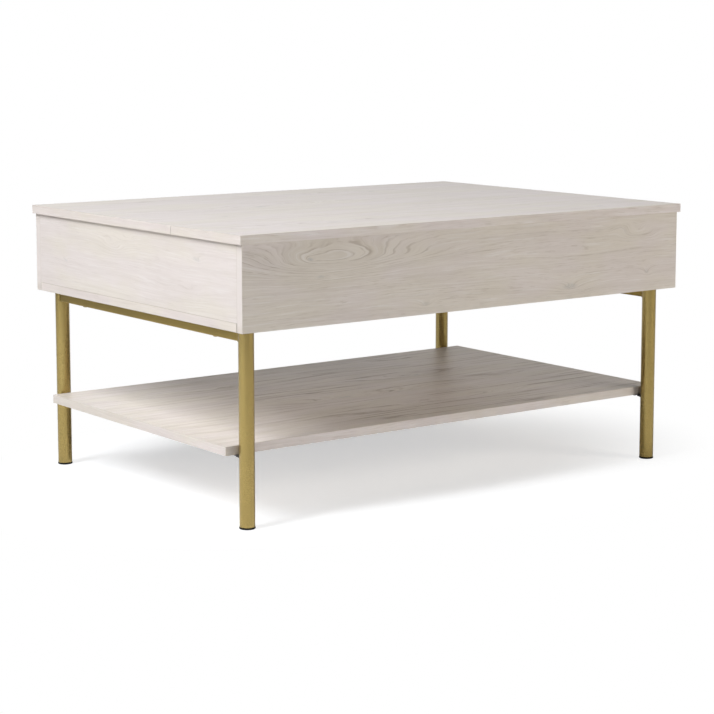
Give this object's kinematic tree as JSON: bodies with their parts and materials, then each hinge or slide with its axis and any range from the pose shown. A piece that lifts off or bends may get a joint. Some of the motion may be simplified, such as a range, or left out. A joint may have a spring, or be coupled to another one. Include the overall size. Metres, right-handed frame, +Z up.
{
  "type": "lift top coffee table",
  "caption": "Rectangular coffee table on round tubular legs, with a wide lift-up top over a storage case and a low shelf.",
  "frame": {"origin": "on the floor, under the middle of the top", "axes": "+X along the length of the table, +Y to the user's side, towards which the top lifts out, +Z up"},
  "size_m": [0.965, 0.687, 0.477],
  "materials": {
    "pale_oak": "whitewashed oak laminate, satin",
    "brass_paint": "satin brass-coloured paint",
    "black_plastic": "matte black",
    "black_steel": "black powder coat",
    "zinc_steel": "bright zinc",
    "clear_rubber": "translucent soft pad"
  },
  "bodies": {
    "case": {"fixed_top": "pale_oak", "bottom_panel": "pale_oak", "top_stretcher": "pale_oak", "shelf": "pale_oak", "back_panel": "pale_oak", "front_panel": "pale_oak", "side_panel_left": "pale_oak", "top_cleat_left": "pale_oak", "rail_left": "brass_paint", "leg_back_left": "brass_paint", "foot_glide_back_left": "black_plastic", "shelf_bracket_back_left": "brass_paint", "shelf_screw_back_left": "black_steel", "rail_screw_back_left": "brass_paint", "bumper_back_left": "clear_rubber", "leg_front_left": "brass_paint", "foot_glide_front_left": "black_plastic", "shelf_bracket_front_left": "brass_paint", "shelf_screw_front_left": "black_steel", "rail_screw_front_left": "brass_paint", "bumper_front_left": "clear_rubber", "lift_base_plate_left": "black_steel", "lift_spring_left": "zinc_steel", "lower_rivet_front_left": "zinc_steel", "plate_screw_front_left": "zinc_steel", "lower_rivet_rear_left": "zinc_steel", "plate_screw_rear_left": "zinc_steel", "side_panel_right": "pale_oak", "top_cleat_right": "pale_oak", "rail_right": "brass_paint", "leg_back_right": "brass_paint", "foot_glide_back_right": "black_plastic", "shelf_bracket_back_right": "brass_paint", "shelf_screw_back_right": "black_steel", "rail_screw_back_right": "brass_paint", "bumper_back_right": "clear_rubber", "leg_front_right": "brass_paint", "foot_glide_front_right": "black_plastic", "shelf_bracket_front_right": "brass_paint", "shelf_screw_front_right": "black_steel", "rail_screw_front_right": "brass_paint", "bumper_front_right": "clear_rubber", "lift_base_plate_right": "black_steel", "lift_spring_right": "zinc_steel", "lower_rivet_front_right": "zinc_steel", "plate_screw_front_right": "zinc_steel", "lower_rivet_rear_right": "zinc_steel", "plate_screw_rear_right": "zinc_steel"},
    "rear_arm_left": {"rear_arm_left": "black_steel"},
    "front_arm_left": {"front_arm_left": "black_steel"},
    "rear_arm_right": {"rear_arm_right": "black_steel"},
    "front_arm_right": {"front_arm_right": "black_steel"},
    "top": {"lift_top": "pale_oak", "lift_bracket_left": "black_steel", "lift_bracket_right": "black_steel", "upper_rivet_front_left": "zinc_steel", "upper_rivet_rear_left": "zinc_steel", "upper_rivet_front_right": "zinc_steel", "upper_rivet_rear_right": "zinc_steel"}
  },
  "joints": [
    {"name": "lift", "type": "hinge", "parent": "case", "child": "rear_arm_left", "pos_m": [-0.45, 0.138, 0.392], "axis": [-1, 0, 0], "range_deg": [0, 110], "deforming": ["lift_spring_left", "lift_spring_right"]},
    {"name": "top_level", "type": "hinge", "parent": "rear_arm_left", "child": "top", "pos_m": [-0.45, -0.06005, 0.41983], "axis": [-1, 0, 0], "range_deg": [-110, 0]},
    {"name": "lift_front_arm_left", "type": "hinge", "parent": "case", "child": "front_arm_left", "pos_m": [-0.45, 0.218, 0.417], "axis": [-1, 0, 0], "range_deg": [0, 110]},
    {"name": "lift_rear_arm_right", "type": "hinge", "parent": "case", "child": "rear_arm_right", "pos_m": [0.45, 0.138, 0.392], "axis": [-1, 0, 0], "range_deg": [0, 110]},
    {"name": "lift_front_arm_right", "type": "hinge", "parent": "case", "child": "front_arm_right", "pos_m": [0.45, 0.218, 0.417], "axis": [-1, 0, 0], "range_deg": [0, 110]}
  ],
  "couplings": [
    {"joint": "top_level", "follows": "lift", "ratio": -1},
    {"joint": "lift_front_arm_left", "follows": "lift", "ratio": 1},
    {"joint": "lift_rear_arm_right", "follows": "lift", "ratio": 1},
    {"joint": "lift_front_arm_right", "follows": "lift", "ratio": 1}
  ]
}
